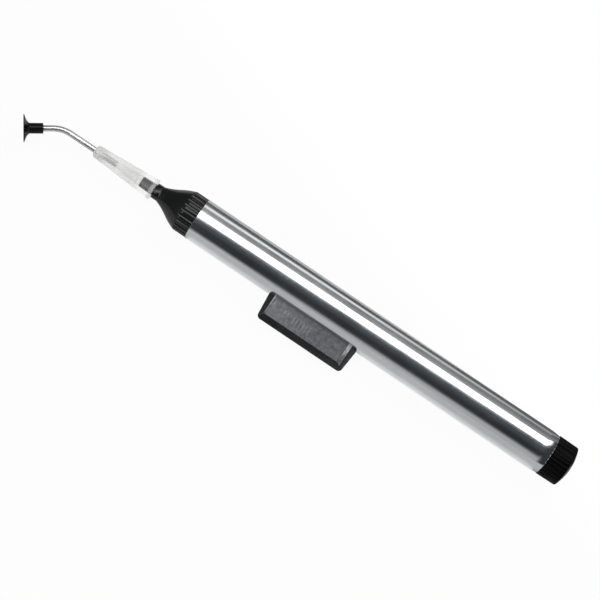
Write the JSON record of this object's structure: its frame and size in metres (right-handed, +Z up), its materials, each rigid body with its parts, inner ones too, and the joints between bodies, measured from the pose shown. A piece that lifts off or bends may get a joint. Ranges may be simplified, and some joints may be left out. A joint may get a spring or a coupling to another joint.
{
  "type": "vacuum pick-up pen",
  "caption": "Hand vacuum pick-up pen: steel barrel, black nose and end cap, side trigger driving a spring piston, luer needle hub, bent needle and rubber suction cup.",
  "frame": {"origin": "on the table, under the middle of the lying pen's box", "axes": "+X along the barrel from the suction cup to the end cap, +Z up from the table, trigger towards -Y"},
  "size_m": [0.2316, 0.0248, 0.016],
  "materials": {
    "polished_steel": "polished",
    "bright_steel": "bright drawn",
    "black_plastic": "satin",
    "natural_plastic": "moulded",
    "milky_plastic": "translucent moulded",
    "black_rubber": "matt"
  },
  "bodies": {
    "barrel": {"barrel_tube": "polished_steel", "nose_cone": "black_plastic", "nose_seal": "black_rubber", "end_cap": "black_plastic", "return_spring": "bright_steel"},
    "trigger": {"trigger_button": "black_plastic", "trigger_cam": "natural_plastic"},
    "piston": {"cam_slider": "natural_plastic", "piston_head": "natural_plastic", "piston_seal": "black_rubber", "piston_screw": "bright_steel"},
    "needle": {"needle_hub": "milky_plastic", "needle_tube": "bright_steel", "suction_cup": "black_rubber"}
  },
  "joints": [
    {"name": "trigger_press", "type": "slide", "parent": "barrel", "child": "trigger", "axis": [0, 0.9345, 0.3559], "range_m": [0, 0.006], "stiffness_N_per_m": 400, "springref_m": -0.001},
    {"name": "piston_stroke", "type": "slide", "parent": "barrel", "child": "piston", "axis": [-1, 0, 0], "range_m": [0, 0.006], "deforming": ["return_spring"]},
    {"name": "needle_swivel", "type": "hinge", "parent": "barrel", "child": "needle", "pos_m": [-0.06202, 0.00438, 0.008], "axis": [-1, 0, 0], "continuous": true}
  ],
  "couplings": [
    {"joint": "piston_stroke", "follows": "trigger_press", "ratio": 1}
  ]
}
